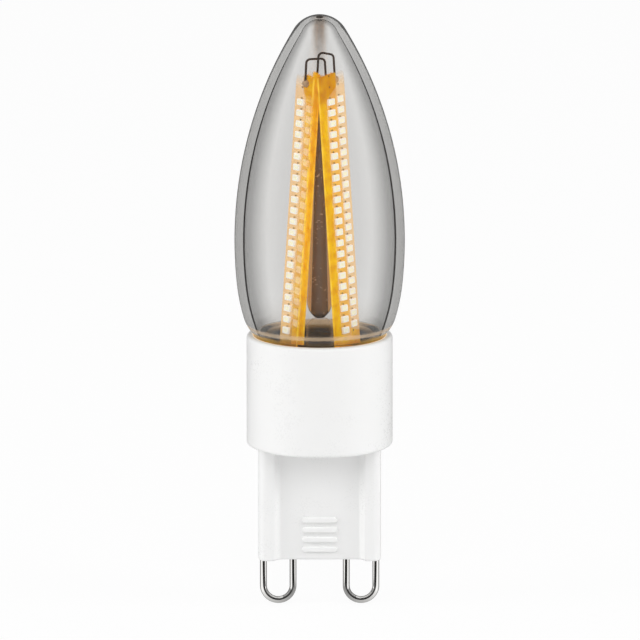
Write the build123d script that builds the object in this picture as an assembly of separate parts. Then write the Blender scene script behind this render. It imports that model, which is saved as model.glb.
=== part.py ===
from build123d import *
import os
from math import asin, atan2, cos, degrees, hypot, radians, sin, sqrt

# Contact pins: two bent wire loops
pin_pitch = 9.0
pin_wire = 0.75
loop_width = 3.97
loop_drop = 5.5
pin_rise = 4.4
pin_margin = 0.17
pin_fit = 0.03

# Pin base: a hollow block with a grip recess front and back
base_depth = 8.0
base_height = 12.3
base_corner = 0.9
base_wall = 1.3
base_floor = 2.4
base_edge = 0.25
recess_width = 8.75
recess_slope = 0.5
recess_depth = 0.9
recess_round = 0.35
ridge_count = 4
ridge_pitch = 1.08
ridge_lowest = 1.2
ridge_width = 3.9
ridge_height = 0.66
ridge_proud = 0.3
ridge_round = 0.18
tenon_step = 0.5
tenon_fit = 0.05

# Collar: a round cup between base and cover
collar_height = 12.1
collar_floor = 1.2
rim_wall = 0.72
collar_edge = 0.35
rib_count = 4
rib_start = 45.0
rib_width = 1.0
rib_reach = 2.0

# Cover: a thin blown bullet with a straight neck, its levels measured from the collar's top
tip_rise = 35.3
belly_rise = 10.4
belly_radius = 9.23
flank_radius = 45.5
shoulder_rise = 5.6
bend_rise = 1.9
bend_radius = 8.24
neck_rise = 0.15
neck_radius = 7.16
neck_depth = 2.9
neck_fit = 0.04
cover_wall = 1.1
tip_wall = 0.7

# Light strips: four narrow films, each with one row of light chips
chip_count = 22
chip_width = 0.92
chip_height = 0.68
chip_thickness = 0.25
chip_offset = 0.32
low_chip_rise = 1.23
film_width = 2.58
film_thickness = 0.15
film_head = 3.2
film_corner = 0.7
film_turn = 45.0
rear_left_turn = 60.0
top_half_gap = 1.53
low_half_gap = 3.08
pair_shift = 0.48
top_pair_depth = 0.9
low_pair_depth = 1.7
strips_forward = 1.15
strips_aside = 0.09

# Wire links and solder
link_wire = 0.24
link_seat = 0.03
link_bend = 0.45
link_rise_front = 4.75
link_rise_rear = 5.25
link_end = 2.1
link_across_left = 0.55
link_across_right = 0.15
link_slant = 0.4
link_clear = 0.17
solder_radius = 0.42
pad_radius = 0.38
pad_spread = 0.75

# Neck board, driver board and what they carry
neck_board_thickness = 2.0
neck_board_fit = 0.15
slot_clear = 0.1
board_thickness = 1.0
board_fit = 0.25
board_clear = 0.05
capacitor_diameter = 4.2
capacitor_length = 6.4
capacitor_lift = 0.9
rectifier_size = (3.8, 1.4, 4.2)
chip_body_size = (3.9, 1.5, 4.9)
chip_body_lift = 2.0
fuse_diameter = 1.7
fuse_length = 4.6
fuse_lift = 0.6
fuse_drop = 2.45

# Stem: a smoked glass post with a pinched waist
stem_foot_radius = 1.45
stem_foot_height = 1.7
stem_waist_radius = 0.45
stem_waist_height = 2.9
stem_belly_radius = 1.4
stem_belly_height = 4.7
stem_top_radius = 0.5
stem_above_chips = 0.87

# Levels and widths that follow from the sizes above
base_width = pin_pitch + loop_width + 2 * pin_margin
cavity_width = base_width - 2 * base_wall
cavity_depth = base_depth - 2 * recess_depth - 2 * base_wall
tenon_width = base_width - 2 * tenon_step
tenon_depth = base_depth - 2 * recess_depth - 2 * tenon_step
collar_top = base_height + collar_height
tip_height = collar_top + tip_rise
belly_height = collar_top + belly_rise
shoulder_height = collar_top + shoulder_rise
bend_height = collar_top + bend_rise
neck_height = collar_top + neck_rise
low_chip_height = collar_top + low_chip_rise
collar_bore = neck_radius + neck_fit
collar_radius = collar_bore + rim_wall
ledge_height = collar_top - neck_depth
neck_board_top = ledge_height + neck_board_thickness
neck_board_radius = neck_radius - cover_wall - neck_board_fit
board_face = pin_wire / 2 + board_clear
loop_radius = (loop_width - pin_wire) / 2
mouth_width = recess_width + 2 * recess_slope
recess_face = base_depth / 2 - recess_depth
bore_floor = base_height + collar_floor

# How a piece stands on its level: centred, foot at zero
upright = (Align.CENTER, Align.CENTER, Align.MIN)


def nose_radius(reach, rise):
    # The arc that closes the tip and runs on from the flank
    return (flank_radius**2 - reach**2 - rise**2) / (2 * (flank_radius - rise))


def cover_outline(inset, tip_inset):
    # Half outline from the tip down to the neck's end, as tangent arcs
    belly = belly_radius - inset
    tip = tip_height - tip_inset
    reach = flank_radius - belly
    rise = tip - belly_height
    nose = nose_radius(reach, rise)
    lean = degrees(atan2(rise - nose, reach))
    tuck = degrees(asin((belly_height - shoulder_height) / flank_radius))
    nose_arc = CenterArc((0, tip - nose), nose, lean, 90 - lean)
    flank = CenterArc((-reach, belly_height), flank_radius, -tuck, tuck + lean)
    shoulder = TangentArc(flank @ 0, (bend_radius - inset, bend_height), tangent=(flank % 0) * -1)
    curl = TangentArc(shoulder @ 1, (neck_radius - inset, neck_height), tangent=shoulder % 1)
    neck = Line(curl @ 1, (neck_radius - inset, ledge_height))
    return [nose_arc, flank, shoulder, curl, neck]


def make_cover():
    outer = cover_outline(0, 0)
    inner = cover_outline(cover_wall, tip_wall)
    tip_line = Line(outer[0] @ 1, inner[0] @ 1)
    foot_line = Line(outer[-1] @ 1, inner[-1] @ 1)
    section = make_face(outer + inner + [tip_line, foot_line])
    return revolve(Plane.XZ * section, Axis.Z)


def top_chip_height():
    # The front link's corner reaches up inside the cover's flank, and the top chips stay below it
    turn = radians(film_turn)
    off_film = link_wire / 2 + link_seat
    aside = top_half_gap + pair_shift - strips_aside
    sideways = aside - link_across_left * cos(turn) + off_film * sin(turn)
    forward = top_pair_depth + strips_forward + link_across_left * sin(turn) + off_film * cos(turn)
    room = hypot(sideways, forward) + link_wire / 2 + link_clear
    reach = flank_radius - belly_radius + cover_wall
    return belly_height + sqrt(flank_radius**2 - (reach + room) ** 2) - link_rise_front


def make_collar():
    cup = Pos(0, 0, base_height) * Cylinder(collar_radius, collar_height, align=upright)
    cup = fillet(cup.edges().filter_by(GeomType.CIRCLE), collar_edge)
    cup -= Pos(0, 0, bore_floor) * Cylinder(collar_bore, collar_top - bore_floor, align=upright)
    mouth = Rectangle(tenon_width + 2 * tenon_fit, tenon_depth + 2 * tenon_fit)
    cup -= extrude(Pos(0, 0, base_height) * mouth, collar_floor)
    rib = Rectangle(rib_reach + rim_wall / 2, rib_width, align=(Align.MAX, Align.CENTER))
    rib = Pos(collar_bore + rim_wall / 2, 0, bore_floor) * rib
    for place in PolarLocations(0, rib_count, rib_start):
        cup += extrude(place * rib, ledge_height - bore_floor)
    return cup


def base_outline():
    block = RectangleRounded(base_width, base_depth, base_corner)
    for side in (-1, 1):
        face = side * base_depth / 2
        back = side * recess_face
        mouth = Line((-mouth_width / 2, face), (mouth_width / 2, face))
        floor = Line((recess_width / 2, back), (-recess_width / 2, back))
        block -= make_face([mouth, Line(mouth @ 1, floor @ 0), floor, Line(floor @ 1, mouth @ 0)])
    corners = [v for v in block.vertices() if abs(v.X) < mouth_width / 2 + recess_round]
    return fillet(corners, recess_round)


def make_base():
    block = extrude(base_outline(), base_height)
    block = fillet(block.faces().sort_by(Axis.Z)[0].edges(), base_edge)
    block += extrude(Pos(0, 0, base_height) * Rectangle(tenon_width, tenon_depth), collar_floor)
    cavity = Rectangle(cavity_width, cavity_depth)
    block -= extrude(Pos(0, 0, base_floor) * cavity, bore_floor - base_floor)
    panel = Plane(origin=(0, -recess_face, 0), x_dir=(1, 0, 0), z_dir=(0, -1, 0))
    for row in range(ridge_count):
        outline = panel * Pos(0, ridge_lowest + row * ridge_pitch) * SlotOverall(ridge_width, ridge_height)
        ridge = extrude(outline, ridge_proud)
        ridge = fillet(ridge.faces().sort_by(Axis.Y)[0].edges(), ridge_round)
        block += ridge
        block += Rot(0, 0, 180) * ridge
    hole = Cylinder(pin_wire / 2 + pin_fit, pin_rise, align=upright)
    for side in (-1, 1):
        for leg in (-1, 1):
            block -= Pos(side * pin_pitch / 2 + leg * loop_radius, 0, 0) * hole
    return block


def make_pin(side):
    bend = -loop_drop + loop_width / 2
    left = Line((-loop_radius, pin_rise), (-loop_radius, bend))
    turn = CenterArc((0, bend), loop_radius, 180, 180)
    right = Line((loop_radius, bend), (loop_radius, pin_rise))
    path = Plane.XZ * Wire([left, turn, right])
    wire = sweep(Pos(-loop_radius, 0, pin_rise) * Circle(pin_wire / 2), path=path)
    return Pos(side * pin_pitch / 2, 0, 0) * wire


class Strip:
    # Working frame of one strip: x across to the right, y up the row, z out of the chips' faces
    # side: -1 left, 1 right; row: -1 front, 1 rear; link_face: 1 where the wire lies beside the chips
    def __init__(self, side, row, link_face, turn_angle=film_turn):
        shift = row * pair_shift + strips_aside
        top_depth = row * top_pair_depth - strips_forward
        low_depth = row * low_pair_depth - strips_forward
        top = Vector(side * top_half_gap + shift, top_depth, top_chip_height())
        low = Vector(side * low_half_gap + shift, low_depth, low_chip_height)
        up = (top - low).normalized()
        turn = radians(turn_angle)
        facing = Vector(side * sin(turn), -cos(turn), 0)
        across = up.cross(facing).normalized()
        self.plane = Plane(origin=top, x_dir=across, z_dir=across.cross(up))
        self.pitch = (top - low).length / (chip_count - 1)
        self.tail = (top.Z - ledge_height - neck_board_thickness / 2) / up.Z
        self.shift = -side * chip_offset
        self.link_across = link_across_left if side < 0 else -link_across_right
        self.link_face = link_face
        self.link_skin = 0 if link_face > 0 else -film_thickness

    def film(self):
        length = film_head + self.tail
        sheet = Box(film_width, length, film_thickness, align=(Align.CENTER, Align.MAX, Align.MAX))
        head = sheet.edges().filter_by(Axis.Z).group_by(Axis.Y)[-1]
        return self.plane * Pos(self.shift, film_head, 0) * fillet(head, film_corner)

    def slot(self):
        length = film_head + self.tail + 2 * neck_board_thickness
        width = film_width + 2 * slot_clear
        depth = film_thickness + 2 * slot_clear
        gap = Box(width, length, depth, align=(Align.CENTER, Align.MAX, Align.MAX))
        return self.plane * Pos(self.shift, film_head, slot_clear) * gap

    def chips(self):
        chip = Box(chip_width, chip_height, chip_thickness, align=upright)
        return [self.plane * Pos(0, -n * self.pitch, 0) * chip for n in range(chip_count)]

    def point(self, across, up, out):
        return self.plane.from_local_coords(Vector(across, up, out))

    def link_point(self, up):
        out = self.link_skin + self.link_face * (link_wire / 2 + link_seat)
        return self.point(self.link_across, up, out)

    def link_bead(self):
        flip = Rot(0 if self.link_face > 0 else 180, 0, 0)
        seat = Pos(self.link_across, link_end, self.link_skin)
        return self.plane * seat * flip * bead_shape(solder_radius)


def bead_shape(radius):
    return Sphere(radius, arc_size1=0, align=upright)


def make_link(left, right, rise, slant=0):
    up_leg = [left.link_point(link_end), left.link_point(rise)]
    down_leg = [right.link_point(rise - slant), right.link_point(link_end)]
    path = FilletPolyline(*up_leg, *down_leg, radius=link_bend)
    start = Plane(origin=path @ 0, z_dir=path % 0)
    return sweep(start * Circle(link_wire / 2), path=path)


def make_link_solder(pairs):
    return [end.link_bead() - link for link, ends in pairs for end in ends]


def make_neck_board(strips):
    disc = Pos(0, 0, ledge_height) * Cylinder(neck_board_radius, neck_board_thickness, align=upright)
    for strip in strips:
        disc -= strip.slot()
    return disc


def make_pad_solder(strips):
    beads = []
    for strip in strips:
        for end in (-1, 1):
            depth = strip.tail - neck_board_thickness / 2
            spot = strip.point(strip.shift + end * pad_spread, -depth, slot_clear + pad_radius)
            beads.append(Pos(spot.X, spot.Y, neck_board_top) * bead_shape(pad_radius))
    return beads


def make_stem():
    stem_height = top_chip_height() + stem_above_chips - neck_board_top
    foot_side = Line((stem_foot_radius, 0), (stem_foot_radius, stem_foot_height))
    foot_dome = TangentArc(foot_side @ 1, (stem_waist_radius, stem_waist_height), tangent=(0, 1))
    belly_low = (stem_belly_radius, stem_belly_height)
    swell = TangentArc(belly_low, foot_dome @ 1, tangent=(0, -1))
    taper = Line(belly_low, (stem_top_radius, stem_height - stem_top_radius))
    crown = CenterArc((0, stem_height - stem_top_radius), stem_top_radius, 0, 90)
    axis = Line(crown @ 1, (0, 0))
    floor = Line((0, 0), foot_side @ 0)
    section = make_face([foot_side, foot_dome, swell, taper, crown, axis, floor])
    return Pos(0, 0, neck_board_top) * revolve(Plane.XZ * section, Axis.Z)


def make_driver():
    ahead = (Align.CENTER, Align.MAX, Align.MIN)
    behind = (Align.CENTER, Align.MIN, Align.MIN)
    board = Box(cavity_width - 2 * board_fit, board_thickness, ledge_height - base_floor, align=behind)
    can = Cylinder(capacitor_diameter / 2, capacitor_length, align=ahead)
    rectifier = Box(*rectifier_size, align=ahead)
    chip_body = Box(*chip_body_size, align=behind)
    fuse = Rot(0, 90, 0) * Cylinder(fuse_diameter / 2, fuse_length)
    fuse_height = bore_floor - fuse_drop
    rectifier_floor = fuse_height - fuse_diameter / 2 - fuse_lift - rectifier_size[2]
    return {
        "driver_board": Pos(0, board_face, base_floor) * board,
        "smoothing_capacitor": Pos(0, board_face, bore_floor + capacitor_lift) * can,
        "bridge_rectifier": Pos(0, board_face, rectifier_floor) * rectifier,
        "driver_chip": Pos(0, board_face + board_thickness, bore_floor + chip_body_lift) * chip_body,
        "fuse_resistor": Pos(0, board_face - fuse_diameter / 2, fuse_height) * fuse,
    }


def make_nodes():
    places = {
        "front_left": Strip(-1, -1, 1),
        "front_right": Strip(1, -1, -1),
        "rear_left": Strip(-1, 1, -1, rear_left_turn),
        "rear_right": Strip(1, 1, -1),
    }
    strips = list(places.values())
    front_pair = strips[:2]
    rear_pair = strips[2:]
    link_front = make_link(*front_pair, link_rise_front)
    link_rear = make_link(*rear_pair, link_rise_rear, link_slant)
    link_beads = make_link_solder([(link_front, front_pair), (link_rear, rear_pair)])
    nodes = {
        "glass_cover": make_cover(),
        "collar": make_collar(),
        "pin_base": make_base(),
        "contact_pin_left": make_pin(-1),
        "contact_pin_right": make_pin(1),
        "wire_link_front": link_front,
        "wire_link_rear": link_rear,
        "link_solder": Compound(children=link_beads),
        "neck_board": make_neck_board(strips),
        "pad_solder": Compound(children=make_pad_solder(strips)),
        "glass_stem": make_stem(),
    }
    for name, strip in places.items():
        nodes["strip_film_" + name] = strip.film()
        nodes["chip_row_" + name] = Compound(children=strip.chips())
    nodes.update(make_driver())
    return nodes


os.makedirs("parts", exist_ok=True)
for name, shape in make_nodes().items():
    export_step(shape, os.path.join("parts", name + ".step"))
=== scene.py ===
import math

import bmesh
import bpy
from mathutils import Matrix, Vector


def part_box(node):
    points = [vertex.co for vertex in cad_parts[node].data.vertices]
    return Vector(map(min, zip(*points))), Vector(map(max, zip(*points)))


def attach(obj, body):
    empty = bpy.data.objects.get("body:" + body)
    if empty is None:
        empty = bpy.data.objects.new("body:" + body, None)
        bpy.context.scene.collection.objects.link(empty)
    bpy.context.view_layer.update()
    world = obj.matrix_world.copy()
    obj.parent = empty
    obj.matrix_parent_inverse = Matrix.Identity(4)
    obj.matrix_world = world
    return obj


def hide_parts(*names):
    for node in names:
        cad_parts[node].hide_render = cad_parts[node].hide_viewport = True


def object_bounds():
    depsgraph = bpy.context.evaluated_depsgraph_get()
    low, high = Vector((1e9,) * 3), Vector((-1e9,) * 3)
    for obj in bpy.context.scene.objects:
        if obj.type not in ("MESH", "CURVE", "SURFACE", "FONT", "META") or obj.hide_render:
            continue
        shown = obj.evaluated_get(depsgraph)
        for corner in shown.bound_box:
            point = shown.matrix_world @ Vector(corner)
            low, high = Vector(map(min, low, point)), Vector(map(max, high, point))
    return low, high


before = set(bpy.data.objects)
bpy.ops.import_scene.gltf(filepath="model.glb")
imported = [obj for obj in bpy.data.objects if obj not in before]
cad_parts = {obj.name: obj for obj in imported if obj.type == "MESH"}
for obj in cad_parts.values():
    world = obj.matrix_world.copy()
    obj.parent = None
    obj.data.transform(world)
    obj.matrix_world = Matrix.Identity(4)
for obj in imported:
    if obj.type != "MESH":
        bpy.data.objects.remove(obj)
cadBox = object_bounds()
scene = bpy.context.scene
scene.view_settings.view_transform = "Standard"
mm = 0.001  # sizes below are written in millimetres
copyGap = 0.001 * mm  # corners closer than this are one, in a solid's copy and in a spun shape
spinGap = 0.0005 * mm
white = (1.0, 1.0, 1.0)
black = (0.0, 0.0, 0.0)
print("frame loaded:", len(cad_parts), "nodes")


def inMetres(sizes):
    return [size * mm for size in sizes]


class Feed:
    # one output socket of a node tree; sums and products of feeds add Math nodes
    def __init__(self, tree, socket):
        self.tree = tree
        self.socket = socket

    def math(self, operation, first, second):
        node = self.tree.nodes.new("ShaderNodeMath")
        node.operation = operation
        plug(self.tree, node.inputs[0], first)
        plug(self.tree, node.inputs[1], second)
        return Feed(self.tree, node.outputs[0])

    def pick(self, name):
        return Feed(self.tree, self.socket.node.outputs[name])

    def __add__(self, other):
        return self.math("ADD", self, other)

    def __sub__(self, other):
        return self.math("SUBTRACT", self, other)

    def __rsub__(self, other):
        return self.math("SUBTRACT", other, self)

    def __mul__(self, other):
        return self.math("MULTIPLY", self, other)

    def __truediv__(self, other):
        return self.math("DIVIDE", self, other)

    def __pow__(self, other):
        return self.math("POWER", self, other)

    def __lt__(self, other):
        return self.math("LESS_THAN", self, other)

    def __gt__(self, other):
        return self.math("GREATER_THAN", self, other)

    def __mod__(self, other):
        return self.math("FLOORED_MODULO", self, other)

    def __or__(self, other):
        return self.math("MAXIMUM", self, other)

    def __abs__(self):
        return self.math("ABSOLUTE", self, 0.0)

    __radd__ = __add__
    __rmul__ = __mul__


def plug(tree, socket, value):
    if isinstance(value, Feed):
        tree.links.new(value.socket, socket)
    elif socket.type == "RGBA" and len(value) == 3:
        socket.default_value = (*value, 1.0)
    else:
        socket.default_value = value


class Finish:
    # a material, or the world, and the one way its nodes are made
    def __init__(self, name, block=None):
        self.block = block or bpy.data.materials.new(name)
        self.block.use_nodes = True
        self.tree = self.block.node_tree
        self.tree.nodes.clear()

    def node(self, kind, settings=None, sockets=None):
        made = self.tree.nodes.new("ShaderNode" + kind)
        for key, value in (settings or {}).items():
            if key == "stops":
                self.setStops(made.color_ramp, value)
            else:
                setattr(made, key, value)
        for key, value in (sockets or {}).items():
            plug(self.tree, made.inputs[key], value)
        shown = [s for s in made.outputs if s.enabled]
        return Feed(self.tree, shown[0]) if shown else made

    def setStops(self, ramp, stops):
        while len(ramp.elements) < len(stops):
            ramp.elements.new(1.0)
        for element, (place, colour) in zip(ramp.elements, stops):
            element.position = place
            element.color = (*colour, 1.0)

    def surface(self, shader, volume=None):
        kind = "OutputWorld" if isinstance(self.block, bpy.types.World) else "OutputMaterial"
        sockets = {"Surface": shader}
        if volume:
            sockets["Volume"] = volume
        self.node(kind, sockets=sockets)
        return self.block

    def principled(self, **sockets):
        named = {key.replace("_", " "): value for key, value in sockets.items()}
        return self.node("BsdfPrincipled", sockets=named)

    def matte(self, colour):
        return self.node("BsdfDiffuse", sockets={"Color": colour})

    def seeThrough(self, colour):
        return self.node("BsdfTransparent", sockets={"Color": colour})

    def absorption(self, colour, density):
        return self.node("VolumeAbsorption", sockets={"Color": colour, "Density": density})

    def layer(self, factor, below, above):
        return self.node("MixShader", sockets={0: factor, 1: below, 2: above})

    def objectSpace(self):
        return self.node("TexCoord").pick("Object")

    def parts(self, vector):
        return self.node("SeparateXYZ", sockets={"Vector": vector})

    def length(self, vector):
        return self.node("VectorMath", {"operation": "LENGTH"}, {0: vector})

    def fromAxis(self, place):
        # the distance from the lamp's own axis
        level = self.node("Mapping", sockets={"Vector": place, "Scale": (1.0, 1.0, 0.0)})
        return self.length(level)

    def slant(self):
        return self.node("LayerWeight", sockets={"Blend": 0.5}).pick("Facing")

    def noise(self, vector, scale, detail=3.0, roughness=0.5):
        sockets = {"Vector": vector, "Scale": scale, "Detail": detail, "Roughness": roughness}
        return self.node("TexNoise", sockets=sockets)

    def spread(self, value, low, high, start=0.0, end=1.0):
        # value runs from start to end, and the result from low to high
        sockets = {
            "Value": value,
            "From Min": start,
            "From Max": end,
            "To Min": low,
            "To Max": high,
        }
        return self.node("MapRange", {"clamp": True}, sockets)

    def ramp(self, stops, place):
        return self.node("ValToRGB", {"stops": stops}, {"Fac": place})

    def blend(self, factor, first, second):
        made = self.tree.nodes.new("ShaderNodeMix")
        made.data_type = "RGBA"
        colours = [s for s in made.inputs if s.type == "RGBA"]
        plug(self.tree, made.inputs["Factor"], factor)
        plug(self.tree, colours[0], first)
        plug(self.tree, colours[1], second)
        return Feed(self.tree, [s for s in made.outputs if s.type == "RGBA"][0])

    def bump(self, height, strength, depth):
        sockets = {"Height": height, "Strength": strength, "Distance": depth * mm}
        return self.node("Bump", sockets=sockets)


def finishPiece(name, bm, materials, nodes, smoothAngle=None):
    mesh = bpy.data.meshes.new(name)
    for face in bm.faces:
        face.smooth = True
    if smoothAngle:
        for edge in bm.edges:
            edge.smooth = edge.calc_face_angle(0.0) < math.radians(smoothAngle)
    bm.to_mesh(mesh)
    bm.free()
    for material in materials:
        mesh.materials.append(material)
    piece = bpy.data.objects.new(name, mesh)
    scene.collection.objects.link(piece)
    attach(piece, "root")
    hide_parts(*nodes)
    return piece


def mergedCopy(node):
    bm = bmesh.new()
    bm.from_mesh(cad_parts[node].data)
    bmesh.ops.remove_doubles(bm, verts=bm.verts, dist=copyGap)
    return bm


def smoothCopy(node, name, material, angle):
    piece = finishPiece(name, mergedCopy(node), [material], [node], angle)
    steady = piece.modifiers.new("evenNormals", "WEIGHTED_NORMAL")
    steady.keep_sharp = True


def vertsOf(geom):
    return [g for g in geom if isinstance(g, bmesh.types.BMVert)]


def edgesOf(geom):
    return [g for g in geom if isinstance(g, bmesh.types.BMEdge)]


# Profiles: points (radius, height) run on as straight edges and tangent arcs
def startProfile(bm, radius, height):
    return bm.verts.new((radius * mm, 0, height * mm))


def lineTo(bm, vert, radius, height):
    end = startProfile(bm, radius, height)
    bm.edges.new((vert, end))
    return end


def arcTo(bm, vert, heading, end, steps):
    # the arc that leaves vert along heading and meets end; returns the last vertex and its heading
    start = Vector((vert.co.x, vert.co.z))
    chord = Vector(end) * mm - start
    heading = Vector(heading).normalized()
    normal = Vector((-heading.y, heading.x))
    radius = chord.length_squared / (2 * chord.dot(normal))
    centre = start + normal * radius
    turn = 2 * math.atan2(chord.dot(normal), chord.dot(heading))
    ring = bmesh.ops.spin(
        bm,
        geom=[vert],
        cent=(centre.x, 0, centre.y),
        axis=(0, -1, 0),
        angle=turn,
        steps=steps,
    )
    return vertsOf(ring["geom_last"])[0], Matrix.Rotation(turn, 2) @ heading


def spinProfile(bm, steps):
    bmesh.ops.spin(
        bm,
        geom=bm.verts[:] + bm.edges[:],
        cent=(0, 0, 0),
        axis=(0, 0, 1),
        angle=math.tau,
        steps=steps,
        use_merge=True,
    )
    bmesh.ops.remove_doubles(bm, verts=bm.verts, dist=spinGap)
    bmesh.ops.recalc_face_normals(bm, faces=bm.faces)


# Smoked cover
coverShape = {
    "tip": 59.7,
    "belly": 34.8,
    "bellyRadius": 9.23,
    "flankRadius": 45.5,
    "shoulder": 30.0,
    "bend": 26.3,
    "bendRadius": 8.24,
    "curl": (7.305, 24.694),
    "neck": 24.335,
    "neckRadius": 7.16,
    "innerNeck": 24.55,
    "foot": 21.5,
    "wall": 1.1,
    "tipWall": 0.7,
    "noseSteps": 20,
    "flankSteps": 60,
    "bendSteps": 16,
    "neckSteps": 14,
    "curlSteps": 8,
    "segments": 160,
    "smoothAngle": 50,
    "bending": 1.5,
    "ripple": 160.0,
    "rippleBump": (0.02, 0.05),
    "smoke": (0.1, 0.07, 0.0),
    "smokeDensity": 104.0,
    "dusk": (0.72, 0.7, 0.67),
    "duskRange": (24.4, 28.0),
    "darkLine": (0.2525, 0.2555, 0.264, 0.271),
    "lineColour": (0.02, 0.018, 0.016),
    "rimShade": (0.38, 0.12),
    "wallMiddle": 0.45,
    "escape": (0.25, 0.262),
    "escapeShare": (0.9, 0.9, 0.9),
    "tipReflection": (0.6, 0.54, 0.49),
    "tipReflectionWidth": (0.45, 1.15),
    "tipReflectionRange": (53.0, 59.0),
    "tipReflectionCore": 0.35,
    "cloud": 1100.0,
    "cloudRange": (0.3, 0.7),
    "cloudShare": (0.6, 1.2),
    "neckSkin": 0.1,
    "padGiltAndAmberReflection": (0.8, 0.5, 0.1),
    "amberReflectionRange": (24.9, 25.05),
    "neckHighlight": (0.9, 0.69, 0.48),
    "neckHighlightShare": 0.38,
    "neckHighlightRange": (25.15, 25.32, 25.6, 25.85),
    "sideAmberReflection": (0.7, 0.38, 0.03),
    "sideShare": 0.38,
    "sideRange": (3.6, 5.4),
    "lampShare": (0.94, 0.94, 0.93),
}


def coverOutline(bm, inset, tipInset):
    # from the tip down to the foot; the neck's outer corner is rounded
    s = coverShape
    tip = s["tip"] - tipInset
    reach = s["flankRadius"] - s["bellyRadius"] + inset
    rise = tip - s["belly"]
    flank = s["flankRadius"]
    nose = (flank**2 - reach**2 - rise**2) / (2 * (flank - rise))
    lean = math.atan2(rise - nose, reach)
    tuck = math.asin((s["belly"] - s["shoulder"]) / flank)
    arcs = [
        ((nose * math.cos(lean), tip - nose + nose * math.sin(lean)), s["noseSteps"]),
        ((flank * math.cos(tuck) - reach, s["shoulder"]), s["flankSteps"]),
        ((s["bendRadius"] - inset, s["bend"]), s["bendSteps"]),
    ]
    if inset:
        arcs.append(((s["neckRadius"] - inset, s["innerNeck"]), s["neckSteps"]))
    else:
        arcs.append((s["curl"], s["neckSteps"]))
        arcs.append(((s["neckRadius"], s["neck"]), s["curlSteps"]))
    vert, heading = startProfile(bm, 0, tip), (1, 0)
    for end, steps in arcs:
        vert, heading = arcTo(bm, vert, heading, end, steps)
    return lineTo(bm, vert, s["neckRadius"] - inset, s["foot"])


def litThrough(finish, shader, share):
    # light from the lamps and the room reaches what stands behind the glass
    path = finish.node("LightPath")
    passing = path.pick("Is Shadow Ray") | path.pick("Is Diffuse Ray")
    return finish.layer(passing, shader, finish.seeThrough(share))


def smokedGlass():
    s = coverShape
    glass = Finish("smokedGlass")
    place = glass.objectSpace()
    ripple = glass.noise(place, s["ripple"], 1.0)
    part = glass.parts(place)
    height = part.pick("Z")
    radius = glass.fromAxis(place)
    # a soft brown painted reflection under the tip
    low, high = inMetres(s["tipReflectionRange"])
    narrow, wide = inMetres(s["tipReflectionWidth"])
    rising = glass.spread(height, 0.0, 1.0, low, high)
    reach = glass.spread(height, narrow, wide, low, high)
    cloud = glass.spread(glass.noise(place, s["cloud"], 2.0), *s["cloudShare"], *s["cloudRange"])
    tipReflection = rising * cloud * glass.spread(abs(part) / reach, 1.0, 0.0, s["tipReflectionCore"], 1.0)
    # a painted reflection of the films' amber light on the neck's outer wall
    inside = glass.node("NewGeometry").pick("Backfacing")
    neckWall = (radius > (s["neckRadius"] - s["neckSkin"]) * mm) * (1.0 - inside)
    padGiltAndAmberReflection = neckWall * glass.spread(height, 1.0, 0.0, *inMetres(s["amberReflectionRange"]))
    # the glass tint darkens towards the neck
    dusk = glass.spread(height, 1.0, 0.0, *inMetres(s["duskRange"])) ** 2.0
    tint = glass.blend(tipReflection, glass.blend(dusk, white, s["dusk"]), s["tipReflection"])
    shader = glass.principled(
        Base_Color=glass.blend(padGiltAndAmberReflection, tint, s["padGiltAndAmberReflection"]),
        Roughness=0.0,
        IOR=s["bending"],
        Transmission_Weight=1.0,
        Normal=glass.bump(ripple, *s["rippleBump"]),
    )
    # on the inner wall, a dark line at the slant where it begins to turn light back, and the
    # shade beside it
    slant = glass.slant()
    start, full, fade, gone = s["darkLine"]
    shade, shadeStart = s["rimShade"]
    line = glass.spread(slant, 0.0, 1.0, start, full)
    line = line | glass.spread(slant, 0.0, shade, shadeStart, start)
    line = line * glass.spread(slant, 1.0, 0.0, fade, gone)
    flankCentre = (s["flankRadius"] - s["bellyRadius"]) * mm
    fromCentre = (radius + flankCentre) ** 2.0 + (height - s["belly"] * mm) ** 2.0
    innerWall = fromCentre < ((s["flankRadius"] - s["wallMiddle"]) * mm) ** 2
    shader = glass.layer(line * inside * innerWall, shader, glass.matte(s["lineColour"]))
    # light that runs along the outer wall leaves it again
    trapped = glass.spread(slant, 0.0, 1.0, *s["escape"]) * inside * (1.0 - innerWall)
    shader = glass.layer(trapped, shader, glass.seeThrough(s["escapeShare"]))
    # a painted pale highlight band where the wall turns in to the neck, and a painted amber
    # reflection on the sides below it
    start, full, fade, gone = inMetres(s["neckHighlightRange"])
    band = glass.spread(height, 0.0, s["neckHighlightShare"], start, full)
    band = band * glass.spread(height, 1.0, 0.0, fade, gone) * neckWall
    shader = glass.layer(band, shader, glass.matte(s["neckHighlight"]))
    aside = glass.spread(abs(part), 0.0, s["sideShare"], *inMetres(s["sideRange"]))
    shader = glass.layer(padGiltAndAmberReflection * aside, shader, glass.matte(s["sideAmberReflection"]))
    smoke = glass.absorption(s["smoke"], s["smokeDensity"])
    return glass.surface(litThrough(glass, shader, s["lampShare"]), smoke)


def makeCover():
    s = coverShape
    bm = bmesh.new()
    outerFoot = coverOutline(bm, 0, 0)
    innerFoot = coverOutline(bm, s["wall"], s["tipWall"])
    bm.edges.new((outerFoot, innerFoot))
    spinProfile(bm, s["segments"])
    glass = [smokedGlass()]
    finishPiece("smokedCover", bm, glass, ["glass_cover"], s["smoothAngle"])


# The small dark drop where the tip was closed
sealShape = {
    "radius": 0.34,
    "halfHeight": 0.13,
    "place": 58.95,
    "segments": 24,
    "rings": 12,
    "dark": (0.02, 0.017, 0.014),
    "light": (0.08, 0.065, 0.05),
    "grain": 3000.0,
    "roughness": (0.1, 0.3),
}


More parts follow.
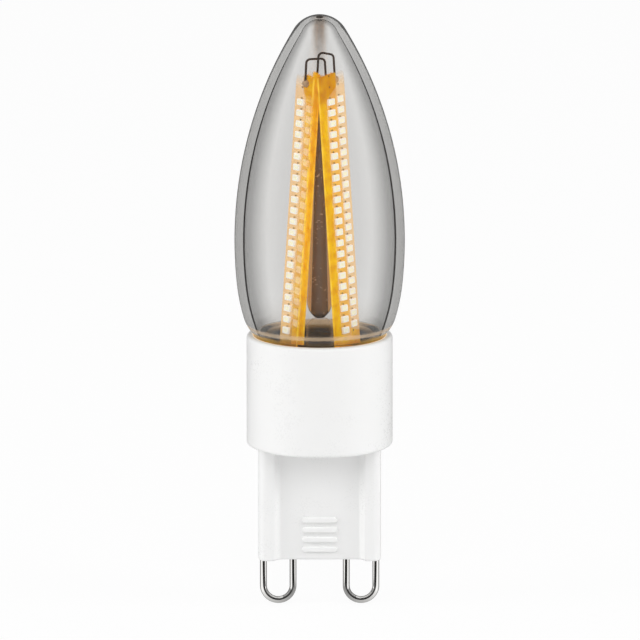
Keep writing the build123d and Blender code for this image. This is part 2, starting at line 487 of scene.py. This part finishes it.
def sealDrop():
    s = sealShape
    drop = Finish("sealDrop")
    grain = drop.noise(drop.objectSpace(), s["grain"], 2.0)
    shader = drop.principled(
        Base_Color=drop.blend(grain, s["dark"], s["light"]),
        Roughness=drop.spread(grain, *s["roughness"]),
    )
    return drop.surface(shader)


def makeSeal():
    s = sealShape
    wide, high, place = inMetres((s["radius"], s["halfHeight"], s["place"]))
    bm = bmesh.new()
    bmesh.ops.create_uvsphere(bm, u_segments=s["segments"], v_segments=s["rings"], radius=1.0)
    bmesh.ops.scale(bm, verts=bm.verts, vec=(wide, wide, high))
    bmesh.ops.translate(bm, verts=bm.verts, vec=(0, 0, place))
    finishPiece("tipSeal", bm, [sealDrop()], ["glass_cover"])


makeCover()
makeSeal()
print("cover done")


# Smoky stem
stemShape = {
    "footRadius": 1.45,
    "footHeight": 1.7,
    "waistRadius": 0.45,
    "waistHeight": 2.9,
    "bellyRadius": 1.4,
    "bellyHeight": 4.7,
    "topRadius": 0.5,
    "footSteps": 12,
    "swellSteps": 16,
    "topSteps": 10,
    "segments": 64,
    "smoothAngle": 40,
    "glass": (0.98, 0.95, 0.92),
    "glassRoughness": 0.02,
    "bending": 1.45,
    "smoke": (0.89, 0.58, 0.1),
    "smokeDensity": 820.0,
    "lampShare": (0.95, 0.9, 0.85),
    "footEdgeHighlight": (0.8, 0.7, 0.58),
    "footCover": (0.04, 0.5),
    "footEdge": 0.35,
    "footRoughness": 0.2,
    "coreShare": 0.45,
    "coreGap": 0.3,
    "coreSteps": (12, 6),
    "coreAngle": 60,
    "coreDark": (0.18, 0.21, 0.31),
    "coreLight": (0.23, 0.27, 0.4),
    "coreCloud": 420.0,
    "coreSpeck": (0.6, 0.68, 0.9),
    "coreSpeckle": 3400.0,
    "coreSpeckRange": (0.66, 0.72),
    "coreRoughness": (0.45, 0.65),
    "coreBending": 1.3,
}


def stemGlass():
    s = stemShape
    glass = Finish("stemGlass")
    shader = glass.principled(
        Base_Color=s["glass"],
        Roughness=s["glassRoughness"],
        IOR=s["bending"],
        Transmission_Weight=1.0,
    )
    smoke = glass.absorption(s["smoke"], s["smokeDensity"])
    return glass.surface(litThrough(glass, shader, s["lampShare"]), smoke)


def stemCore():
    s = stemShape
    core = Finish("stemCore")
    place = core.objectSpace()
    specks = core.noise(place, s["coreSpeckle"], 1.0)
    specks = core.spread(specks, 0.0, 1.0, *s["coreSpeckRange"])
    cloud = core.noise(place, s["coreCloud"], 2.0)
    tint = core.blend(cloud, s["coreDark"], s["coreLight"])
    shader = core.principled(
        Base_Color=core.blend(specks, tint, s["coreSpeck"]),
        Roughness=core.spread(cloud, *s["coreRoughness"]),
        IOR=s["coreBending"],
    )
    return core.surface(shader)


def stemFootGlass():
    # the thin flare under the stem: clear, with painted pale highlights on its edges
    s = stemShape
    glass = Finish("stemFoot")
    shader = glass.principled(
        Base_Color=s["footEdgeHighlight"],
        Roughness=s["footRoughness"],
        Alpha=glass.spread(glass.slant(), *s["footCover"], s["footEdge"], 1.0),
    )
    return glass.surface(shader)


def finishStem(name, bm, material, angle):
    spinProfile(bm, stemShape["segments"])
    finishPiece(name, bm, [material], ["glass_stem"], angle)


def makeStem():
    s = stemShape
    low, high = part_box("glass_stem")
    floor = low.z / mm
    top = high.z / mm
    waist = (s["waistRadius"], floor + s["waistHeight"])
    bm = bmesh.new()
    first = startProfile(bm, s["footRadius"], floor)
    vert = lineTo(bm, first, s["footRadius"], floor + s["footHeight"])
    arcTo(bm, vert, (0, 1), waist, s["footSteps"])
    finishStem("stemFoot", bm, stemFootGlass(), s["smoothAngle"])
    bm = bmesh.new()
    belly = startProfile(bm, s["bellyRadius"], floor + s["bellyHeight"])
    swell = arcTo(bm, belly, (0, -1), waist, s["swellSteps"])[0]
    lineTo(bm, swell, 0, waist[1])
    vert = lineTo(bm, belly, s["topRadius"], top - s["topRadius"])
    arcTo(bm, vert, (0, 1), (0, top), s["topSteps"])
    finishStem("smokyStem", bm, stemGlass(), s["smoothAngle"])


def makeStemCore():
    # the dark rod inside the post, which the glass around it widens
    s = stemShape
    low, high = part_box("glass_stem")
    floor = low.z / mm + s["waistHeight"] + s["coreGap"]
    top = high.z / mm - s["coreGap"]
    wide = s["bellyRadius"] * s["coreShare"]
    narrow = s["topRadius"] * s["coreShare"]
    lowSteps, topSteps = s["coreSteps"]
    bm = bmesh.new()
    first = startProfile(bm, 0, floor)
    vert = arcTo(bm, first, (1, 0), (wide, floor + wide), lowSteps)[0]
    vert = lineTo(bm, vert, narrow, top - narrow)
    arcTo(bm, vert, (0, 1), (0, top), topSteps)
    finishStem("stemCore", bm, stemCore(), s["coreAngle"])


makeStem()
makeStemCore()
print("stem done")


# White plastic: collar and base
plasticLook = {
    "smoothAngle": 35,
    "shade": (0.885, 0.885, 0.88),
    "colour": (0.9, 0.9, 0.895),
    "grain": 5200.0,
    "grainBump": (0.12, 0.02),
    "mottle": 220.0,
    "roughness": (0.24, 0.38),
    "roughRange": (0.6, 1.4),
    "bending": 1.46,
    "bore": (7.3, 22.5),
    "boreRange": (23.1, 24.3),
    "borePaintedGlow": [
        (0.0, (0.0, 0.0, 0.0)),
        (0.42, (0.0, 0.0, 0.0)),
        (0.65, (0.14, 0.09, 0.03)),
        (0.85, (0.42, 0.32, 0.22)),
    ],
    "boreShadowTint": [
        (0.4, (0.02, 0.01, 0.003)),
        (0.65, (0.45, 0.3, 0.14)),
        (0.85, (0.8, 0.66, 0.5)),
    ],
}


def whitePlastic():
    look = plasticLook
    plastic = Finish("whitePlastic")
    place = plastic.objectSpace()
    grain = plastic.noise(place, look["grain"], 2.0)
    mottle = plastic.noise(place, look["mottle"], 3.0)
    # painted glow in the upper part of the collar's bore, standing in for light carried by the
    # thin wall, and painted shadow in its lower part just above the board
    height = plastic.parts(place).pick("Z")
    wide, floor = inMetres(look["bore"])
    bore = (plastic.fromAxis(place) < wide) * (height > floor)
    rise = plastic.spread(height, 0.0, 1.0, *inMetres(look["boreRange"]))
    tint = plastic.ramp(look["boreShadowTint"], rise)
    glow = plastic.ramp(look["borePaintedGlow"], rise)
    outer = plastic.blend(mottle, look["shade"], look["colour"])
    shader = plastic.principled(
        Base_Color=plastic.blend(bore, outer, tint),
        Roughness=plastic.spread(grain + mottle, *look["roughness"], *look["roughRange"]),
        IOR=look["bending"],
        Emission_Color=plastic.blend(bore, black, glow),
        Emission_Strength=1.0,
        Normal=plastic.bump(grain, *look["grainBump"]),
    )
    return plastic.surface(shader)


plastic = whitePlastic()
smoothCopy("collar", "whiteCollar", plastic, plasticLook["smoothAngle"])
smoothCopy("pin_base", "whiteBase", plastic, plasticLook["smoothAngle"])
print("collar and base done")


# Bright wire loops
loopShape = {
    "wire": 0.75,
    "segments": 28,
    "bendSteps": 30,
    "smoothAngle": 50,
    "dark": (0.88, 0.87, 0.85),
    "light": (0.97, 0.96, 0.94),
    "drawn": (9000.0, 9000.0, 260.0),
    "drawnBump": (0.06, 0.01),
    "roughness": (0.04, 0.12),
    "roughRange": (0.3, 0.7),
}


def brightWire():
    s = loopShape
    metal = Finish("brightWire")
    sockets = {"Vector": metal.objectSpace(), "Scale": s["drawn"]}
    streak = metal.noise(metal.node("Mapping", sockets=sockets), 1.0, 3.0)
    shader = metal.principled(
        Base_Color=metal.blend(streak, s["dark"], s["light"]),
        Metallic=1.0,
        Roughness=metal.spread(streak, *s["roughness"], *s["roughRange"]),
        Normal=metal.bump(streak, *s["drawnBump"]),
    )
    return metal.surface(shader)


def extrudeLeg(bm, ring, rise):
    # runs a ring of edges straight on; returns the vertices and edges of the new ring
    leg = bmesh.ops.extrude_edge_only(bm, edges=ring)["geom"]
    verts = vertsOf(leg)
    bmesh.ops.translate(bm, verts=verts, vec=(0, 0, rise))
    return verts, [e for e in edgesOf(leg) if all(v in verts for v in e.verts)]


def makeLoop(side, metal):
    s = loopShape
    low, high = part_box("contact_pin_" + side)
    radius = s["wire"] * mm / 2
    middle = (low.x + high.x) / 2
    turnRadius = (high.x - low.x) / 2 - radius
    turnHeight = low.z + radius + turnRadius
    bm = bmesh.new()
    bmesh.ops.create_circle(bm, cap_ends=True, segments=s["segments"], radius=radius)
    bmesh.ops.translate(bm, verts=bm.verts, vec=(middle - turnRadius, 0, high.z))
    bmesh.ops.reverse_faces(bm, faces=bm.faces)
    verts, ring = extrudeLeg(bm, bm.edges[:], turnHeight - high.z)
    turn = bmesh.ops.spin(
        bm,
        geom=verts + ring,
        cent=(middle, 0, turnHeight),
        axis=(0, -1, 0),
        angle=math.pi,
        steps=s["bendSteps"],
    )
    verts, ring = extrudeLeg(bm, edgesOf(turn["geom_last"]), high.z - turnHeight)
    bmesh.ops.holes_fill(bm, edges=ring, sides=0)
    bmesh.ops.remove_doubles(bm, verts=bm.verts, dist=spinGap)
    bmesh.ops.recalc_face_normals(bm, faces=bm.faces)
    nodes = ["contact_pin_" + side]
    finishPiece("wireLoop." + side, bm, [metal], nodes, s["smoothAngle"])


wireMetal = brightWire()
for side in ("left", "right"):
    makeLoop(side, wireMetal)
print("loops done")


# Light strips: amber films and rows of chips
class StripFrame:
    # a strip's own frame, read from its row of chips and its film
    chipCorners = 8
    levelGap = 0.01 * mm

    def __init__(self, ending):
        count = self.chipCorners
        film = self.corners("strip_film_" + ending)
        points = sorted(self.corners("chip_row_" + ending), key=lambda p: -p.z)
        starts = range(0, len(points), count)
        self.chipCentres = [self.middle(points[n : n + count]) for n in starts]
        first, last = self.chipCentres[0], self.chipCentres[-1]
        self.up = (first - last).normalized()
        spans = [p - points[0] for p in points[1:count]]
        level = [v for v in spans if abs(v.dot(self.up)) < self.levelGap]
        self.out = min(level, key=lambda v: v.length).normalized()
        if self.out.dot(first - self.middle(film)) < 0:
            self.out = -self.out
        self.across = self.up.cross(self.out)
        self.axes = Matrix((self.across, self.up, self.out)).transposed()
        self.pitch = (first - last).length / (len(self.chipCentres) - 1)
        sides = [p - first for p in points[:count]]
        axes = (self.across, self.up, self.out)
        self.chipSize = [2 * max(p.dot(axis) for p in sides) for axis in axes]
        self.origin = first - self.out * self.chipSize[2] / 2
        self.filmPoints = [p - self.origin for p in film]
        self.top = max(p.dot(self.up) for p in self.filmPoints)

    def middle(self, points):
        return sum(points, Vector()) / len(points)

    def corners(self, node):
        bm = mergedCopy(node)
        points = [v.co.copy() for v in bm.verts]
        bm.free()
        return points


filmLook = {
    "amber": (0.98, 0.6, 0.0),
    "deepAmber": (0.8, 0.34, 0.0),
    "blotch": 800.0,
    "blotchRange": (0.42, 0.64),
    "blotchRoughness": 0.65,
    "mottle": 900.0,
    "mottleBump": (0.15, 0.02),
    "roughness": (0.3, 0.45),
    "burnt": (0.5, 0.2, 0.01),
    "speck": 2600.0,
    "speckRange": (0.68, 0.74),
    "speckShare": 0.7,
    "headAmber": (0.6, 0.19, 0.0),
    "headRange": (-0.9, 0.9),
    "headMottle": (0.5, 1.0, 0.3, 0.6),
    "headShare": {"front_left": 0.6, "front_right": 1.0, "rear_left": 0.35, "rear_right": 0.3},
    "headCover": 0.85,
    "rim": (1.0, 0.72, 0.06),
    "rimGlow": (0.32, 0.2, 0.02),
    "rimWidth": (0.14, 0.05),
    "rimShare": 0.85,
    "rimLeast": 0.3,
    "peach": (0.9, 0.63, 0.3),
    "amberGlow": (0.2, 0.105, 0.0),
    "peachGlow": (0.28, 0.19, 0.1),
    "chipCover": 0.5,
    "innerCover": {"front_left": 0.33, "front_right": 0.9, "rear_left": 0.9, "rear_right": 0.8},
    "innerStart": (0.45, 0.7),
    "warmth": {"front_left": 0.3, "front_right": 0.6, "rear_left": 0.6, "rear_right": 0.2},
    "topShift": {"front_left": 0.4, "front_right": 1.6, "rear_left": 0.4, "rear_right": 0.2},
    "topRange": (0.2, 1.6),
    "lowShift": 1.8,
    "lowRange": (-1.0, -0.4),
    "wander": 0.5,
    "wanderScale": 700.0,
    "dot": (0.075, 0.09),
    "dotColour": (0.06, 0.02, 0.015),
    "dotShare": 0.85,
    "outerFade": (0.1, 1.9),
    "innerFade": (0.1, 0.3),
    "ragged": 0.7,
    "raggedScale": 1300.0,
}


def amberFilm(ending, strip):
    look = filmLook
    film = Finish("amberFilm." + ending)
    place = film.objectSpace()
    seat = {"Vector": place, "Location": strip.origin, "Rotation": strip.axes.to_euler()}
    local = film.node("Mapping", {"vector_type": "TEXTURE"}, seat)
    across = film.parts(local)
    along = across.pick("Y")
    inward = 1.0 if "left" in ending else -1.0
    toInner = across * inward
    mottle = film.noise(local, look["mottle"], 3.0)
    # above and below the chips the deep amber reaches further out
    lowest = -strip.pitch * (len(strip.chipCentres) - 1)
    low, high = inMetres(look["topRange"])
    shift = film.spread(along, 0.0, look["topShift"][ending] * mm, low, high)
    low, high = (lowest + reach for reach in inMetres(look["lowRange"]))
    shift = shift + film.spread(along, look["lowShift"] * mm, 0.0, low, high)
    wander = (film.noise(local, look["wanderScale"], 2.0) - 0.5) * (look["wander"] * mm)
    start, full = (strip.chipSize[0] * share for share in look["innerStart"])
    inner = film.spread(toInner + shift + wander, 0.0, 1.0, start, full)
    # blotches and burnt specks in the amber, and a darker head
    blotch = film.noise(local, look["blotch"], 4.0, look["blotchRoughness"])
    blotch = film.spread(blotch, 0.0, 1.0, *look["blotchRange"])
    speck = film.noise(local, look["speck"], 1.0)
    speck = film.spread(speck, 0.0, look["speckShare"], *look["speckRange"])
    rich = film.blend(blotch, look["amber"], look["deepAmber"])
    head = film.spread(along, 0.0, 1.0, *inMetres(look["headRange"]))
    deep = head * film.spread(mottle, *look["headMottle"]) * look["headShare"][ending]
    rich = film.blend(deep, rich, look["headAmber"])
    warm = film.spread(inner, look["warmth"][ending], 1.0)
    tint = film.blend(warm * speck, film.blend(warm, look["peach"], rich), look["burnt"])
    glow = film.blend(warm, look["peachGlow"], look["amberGlow"])
    # a painted highlight along the cut inner edge
    edge = max(p.dot(strip.across) * inward for p in strip.filmPoints)
    start, full = (edge - width for width in inMetres(look["rimWidth"]))
    rim = film.spread(toInner, 0.0, look["rimShare"], start, full)
    rim = rim * film.spread(blotch, 1.0, look["rimLeast"])
    tint = film.blend(rim, tint, look["rim"])
    glow = film.blend(rim, glow, look["rimGlow"])
    # a dark dot above each chip
    dotWide, dotHigh = inMetres(look["dot"])
    dotPlace = strip.chipSize[1] / 2 + dotHigh
    step = abs((along - dotPlace + strip.pitch / 2) % strip.pitch - strip.pitch / 2)
    dot = (abs(across) < dotWide) * (step < dotHigh)
    cover = film.spread(inner, look["chipCover"], look["innerCover"][ending])
    cover = cover | (head * inner * look["headCover"]) | rim | dot
    # the top end thins out, and its inner part ends in a ragged edge
    ragged = (film.noise(local, look["raggedScale"], 2.0) - 0.5) * (look["ragged"] * mm)
    depth = strip.top - along - ragged
    soft = film.spread(depth, 0.0, 1.0, *inMetres(look["outerFade"]))
    crisp = film.spread(depth, 0.0, 1.0, *inMetres(look["innerFade"]))
    shader = film.principled(
        Base_Color=film.blend(dot * look["dotShare"], tint, look["dotColour"]),
        Roughness=film.spread(mottle, *look["roughness"]),
        Specular_IOR_Level=0.0,
        Alpha=cover * film.spread(inner, soft, crisp),
        Emission_Color=film.blend(dot, glow, black),
        Emission_Strength=1.0,
        Normal=film.bump(mottle, *look["mottleBump"]),
    )
    return film.surface(shader)


chipShape = {
    "edge": 0.06,
    "edgeSteps": 2,
    "window": 0.13,
    "lip": 0.02,
    "windowDepth": 0.04,
    "smoothAngle": 40,
    "glow": 0.26,
    "bodyColours": ((0.92, 0.89, 0.81), (0.95, 0.93, 0.87)),
    "bodyGrain": 4000.0,
    "bodyRoughness": (0.35, 0.5),
    "bodyGlow": (1.0, 0.97, 0.9),
    "windowColours": ((0.93, 0.88, 0.58), (0.96, 0.92, 0.7)),
    "windowGrain": 2600.0,
    "windowRoughness": 0.25,
    "windowGlow": (1.0, 0.95, 0.75),
}


def chipPackage():
    s = chipShape
    body = Finish("chipPackage")
    grain = body.noise(body.objectSpace(), s["bodyGrain"], 2.0)
    shader = body.principled(
        Base_Color=body.blend(grain, *s["bodyColours"]),
        Roughness=body.spread(grain, *s["bodyRoughness"]),
        Emission_Color=s["bodyGlow"],
        Emission_Strength=s["glow"],
    )
    return body.surface(shader)


def chipWindow():
    s = chipShape
    window = Finish("chipWindow")
    grain = window.noise(window.objectSpace(), s["windowGrain"], 2.0)
    shader = window.principled(
        Base_Color=window.blend(grain, *s["windowColours"]),
        Roughness=s["windowRoughness"],
        Emission_Color=s["windowGlow"],
        Emission_Strength=s["glow"],
    )
    return window.surface(shader)


def chipTemplate(size):
    # one chip round the origin: rounded edges and a sunk window in its face
    s = chipShape
    edge, window, lip, windowDepth = inMetres(
        (s["edge"], s["window"], s["lip"], s["windowDepth"])
    )
    bm = bmesh.new()
    bmesh.ops.create_cube(bm, size=1.0)
    bmesh.ops.scale(bm, verts=bm.verts, vec=size)
    rounded = [e for e in bm.edges if max(v.co.z for v in e.verts) > 0]
    bmesh.ops.bevel(
        bm,
        geom=rounded,
        offset=edge,
        offset_type="OFFSET",
        affect="EDGES",
        segments=s["edgeSteps"],
        profile=0.5,
        material=-1,
    )
    face = max(bm.faces, key=lambda f: f.normal.z * f.calc_area())
    bmesh.ops.inset_region(bm, faces=[face], thickness=window, depth=0.0)
    bmesh.ops.inset_region(bm, faces=[face], thickness=lip, depth=-windowDepth)
    face.material_index = 1
    mesh = bpy.data.meshes.new("chipTemplate")
    bm.to_mesh(mesh)
    bm.free()
    return mesh


def makeChips(ending, strip, materials):
    template = chipTemplate(strip.chipSize)
    bm = bmesh.new()
    for centre in strip.chipCentres:
        before = len(bm.verts)
        bm.from_mesh(template)
        bm.verts.ensure_lookup_table()
        seat = Matrix.Translation(centre) @ strip.axes.to_4x4()
        bmesh.ops.transform(bm, matrix=seat, verts=bm.verts[before:])
    bpy.data.meshes.remove(template)
    nodes = ["chip_row_" + ending]
    angle = chipShape["smoothAngle"]
    finishPiece("chipRow." + ending, bm, materials, nodes, angle)


def recolour(node, material):
    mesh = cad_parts[node].data
    mesh.materials.clear()
    mesh.materials.append(material)


chipFinish = [chipPackage(), chipWindow()]
for ending in ("front_left", "front_right", "rear_left", "rear_right"):
    strip = StripFrame(ending)
    makeChips(ending, strip, chipFinish)
    recolour("strip_film_" + ending, amberFilm(ending, strip))
print("strips done")


# Wires, solder, boards and the parts on them
plainLooks = {
    # dark and light colour, grain, roughness, metallic, bump
    "linkWire": ((0.03, 0.02, 0.014), (0.14, 0.09, 0.065), 2400.0, 0.3, 1.0, 0.1),
    "solder": ((0.55, 0.4, 0.2), (0.85, 0.68, 0.4), 3000.0, 0.25, 0.6, 0.3),
    "beadMetal": ((0.3, 0.16, 0.08), (0.75, 0.5, 0.3), 2400.0, 0.4, 0.0, 0.3),
    "boardGreen": ((0.02, 0.12, 0.05), (0.03, 0.18, 0.07), 1200.0, 0.35, 0.0, 0.1),
    "partBlack": ((0.02, 0.02, 0.02), (0.04, 0.04, 0.04), 3000.0, 0.5, 0.0, 0.2),
    "canMetal": ((0.5, 0.5, 0.52), (0.7, 0.7, 0.72), 1500.0, 0.3, 1.0, 0.1),
    "enamel": ((0.2, 0.33, 0.42), (0.26, 0.4, 0.5), 1500.0, 0.3, 0.0, 0.1),
}
plainGrain = {"share": (0.75, 1.25), "range": (0.3, 0.7), "depth": 0.02}


def plainFinish(name, dark, light, scale, roughness, metallic, bump):
    look = Finish(name)
    grain = look.noise(look.objectSpace(), scale, 3.0)
    low, high = (roughness * share for share in plainGrain["share"])
    shader = look.principled(
        Base_Color=look.blend(grain, dark, light),
        Metallic=metallic,
        Roughness=look.spread(grain, low, high, *plainGrain["range"]),
        Normal=look.bump(grain, bump, plainGrain["depth"]),
    )
    return look.surface(shader)


boardLook = {
    "black": ((0.012, 0.006, 0.002), (0.03, 0.016, 0.006)),
    "padGiltAndAmberReflection": ((0.16, 0.08, 0.01), (0.42, 0.25, 0.06)),
    "padRange": (3.6, 4.2),
    "padWander": 1.2,
    "grain": 1500.0,
    "grainBump": (0.1, 0.02),
    "roughness": 0.55,
    "gloss": 0.05,
}


def boardFinish():
    # black in the middle, with gilded pads towards both sides
    look = boardLook
    board = Finish("boardBlack")
    place = board.objectSpace()
    grain = board.noise(place, look["grain"], 3.0)
    aside = abs(board.parts(place)) + (grain - 0.5) * (look["padWander"] * mm)
    pads = board.spread(aside, 0.0, 1.0, *inMetres(look["padRange"]))
    middle = board.blend(grain, *look["black"])
    padGiltAndAmberReflection = board.blend(grain, *look["padGiltAndAmberReflection"])
    shader = board.principled(
        Base_Color=board.blend(pads, middle, padGiltAndAmberReflection),
        Roughness=look["roughness"],
        Specular_IOR_Level=look["gloss"],
        Normal=board.bump(grain, *look["grainBump"]),
    )
    return board.surface(shader)


finishes = {name: plainFinish(name, *look) for name, look in plainLooks.items()}
finishes["boardBlack"] = boardFinish()
copyAngle = 40
copied = {
    "wire_link_front": ("linkWire.front", "linkWire", "link_wire"),
    "wire_link_rear": ("linkWire.rear", "linkWire", "link_wire"),
    "link_solder": ("linkSolder", "beadMetal", "solder"),
    "pad_solder": ("padSolder", "solder", "solder"),
    "neck_board": ("neckBoard", "boardBlack", "black_board"),
}
for node, (name, look, slot) in copied.items():
    smoothCopy(node, name, finishes[look], copyAngle)
# inside the collar and base, out of sight
hidden = {
    "driver_board": "boardGreen",
    "bridge_rectifier": "partBlack",
    "driver_chip": "partBlack",
    "smoothing_capacitor": "canMetal",
    "fuse_resistor": "enamel",
}
for node, look in hidden.items():
    recolour(node, finishes[look])
print("wires and boards done")


# Studio: floor, world, lamps and camera
studio = {
    "floorSize": 3000.0,
    "floorColour": (0.9, 0.9, 0.9),
    "floorWhite": 0.92,
    "ambient": (0.6, 0.6, 0.6),
    "lamps": {
        "key": {"place": (-650, -200, 300), "size": 380, "power": 1.68},
        "fill": {"place": (650, -200, 300), "size": 380, "power": 1.6},
        "top": {"place": (0, -520, 560), "size": 500, "power": 1.15},
    },
    "behind": [
        (0.0, 0.8),
        (0.0187, 0.82),
        (0.0265, 0.84),
        (0.032, 0.88),
        (0.04, 0.91),
        (0.0455, 0.9),
        (0.072, 0.77),
        (0.1, 0.67),
        (0.2, 0.62),
        (0.35, 0.7),
    ],
    "mirrored": [
        (0.0, 0.15),
        (0.3, 0.15),
        (0.45, 0.4),
        (0.6, 0.4),
        (0.72, 0.15),
        (0.85, 0.03),
    ],
    "mirroredFloor": [
        (0.0, 0.34),
        (0.2, 0.25),
        (0.45, 0.25),
        (0.53, 1.0),
        (0.74, 1.0),
        (0.8, 0.02),
    ],
    "nearFloor": (60.0, 110.0),
    "underLoops": (6.0, 10.5),
    "loopShade": (0.32, 0.32, 0.32),
    "target": (0.04, 0.0, 25.95),
    "elevation": 12.0,
    "distance": 2500.0,
    "frameWidth": 69.4,
    "sight": (10.0, 20000.0),
}


def greys(finish, stops, place):
    return finish.ramp([(at, (grey,) * 3) for at, grey in stops], place)


def studioGlow(finish, direction, onFloor):
    # what glass and metal see around the lamp, by the angle from straight behind it; glass looks
    # through to one set of greys and metal mirrors another
    path = finish.node("LightPath")
    seen = path.pick("Is Camera Ray")
    bent = path.pick("Is Transmission Ray")
    part = finish.parts(direction)
    turn = abs(part.math("ARCTAN2", part, part.pick("Y"))) / math.pi
    mirror = greys(finish, studio["mirrored"], turn)
    if onFloor:
        reach = finish.length(direction)
        close = finish.spread(reach, 1.0, 0.0, *inMetres(studio["nearFloor"]))
        mirror = finish.blend(close, mirror, greys(finish, studio["mirroredFloor"], turn))
        close = finish.spread(reach, 1.0, 0.0, *inMetres(studio["underLoops"]))
        mirror = finish.blend(close, mirror, studio["loopShade"])
    around = finish.blend(bent, mirror, greys(finish, studio["behind"], turn))
    return seen, path.pick("Is Glossy Ray") | bent, around


def makeWorld():
    world = bpy.data.worlds.new("studioWorld")
    scene.world = world
    air = Finish("studioWorld", world)
    direction = air.node("TexCoord").pick("Generated")
    seen, mirrored, around = studioGlow(air, direction, False)
    colour = air.blend(mirrored, studio["ambient"], around)
    colour = air.blend(seen, colour, white)
    air.surface(air.node("Background", sockets={"Color": colour, "Strength": 1.0}))


def makeFloor():
    half = studio["floorSize"] * mm / 2
    bm = bmesh.new()
    bmesh.ops.create_grid(bm, x_segments=1, y_segments=1, size=half)
    bmesh.ops.translate(bm, verts=bm.verts, vec=(0, 0, cadBox[0].z))
    mesh = bpy.data.meshes.new("floor")
    bm.to_mesh(mesh)
    bm.free()
    floor = bpy.data.objects.new("floor", mesh)
    scene.collection.objects.link(floor)
    paper = Finish("floorPaper")
    seen, mirrored, around = studioGlow(paper, paper.objectSpace(), True)
    glow = paper.blend(seen, around, white)
    shown = paper.node("Emission", sockets={"Color": glow, "Strength": 1.0})
    share = (seen * studio["floorWhite"]) | mirrored
    shader = paper.layer(share, paper.matte(studio["floorColour"]), shown)
    mesh.materials.append(paper.surface(shader))


def aim(obj, target):
    obj.rotation_euler = (target - obj.location).to_track_quat("-Z", "Y").to_euler()
    scene.collection.objects.link(obj)


def makeLamps():
    target = Vector(studio["target"]) * mm
    for name, lamp in studio["lamps"].items():
        data = bpy.data.lights.new(name, "AREA")
        data.shape = "DISK"
        data.size = lamp["size"] * mm
        data.energy = lamp["power"]
        obj = bpy.data.objects.new(name, data)
        obj.location = Vector(lamp["place"]) * mm
        obj.visible_glossy = False
        obj.visible_transmission = False
        aim(obj, target)


def makeCamera():
    tilt = math.radians(studio["elevation"])
    distance = studio["distance"] * mm
    target = Vector(studio["target"]) * mm
    data = bpy.data.cameras.new("camera")
    data.lens = data.sensor_width * studio["distance"] / studio["frameWidth"]
    data.clip_start, data.clip_end = inMetres(studio["sight"])
    camera = bpy.data.objects.new("camera", data)
    camera.location = target + Vector((0, -math.cos(tilt), math.sin(tilt))) * distance
    aim(camera, target)
    scene.camera = camera


makeWorld()
makeFloor()
makeLamps()
makeCamera()
print("studio done")
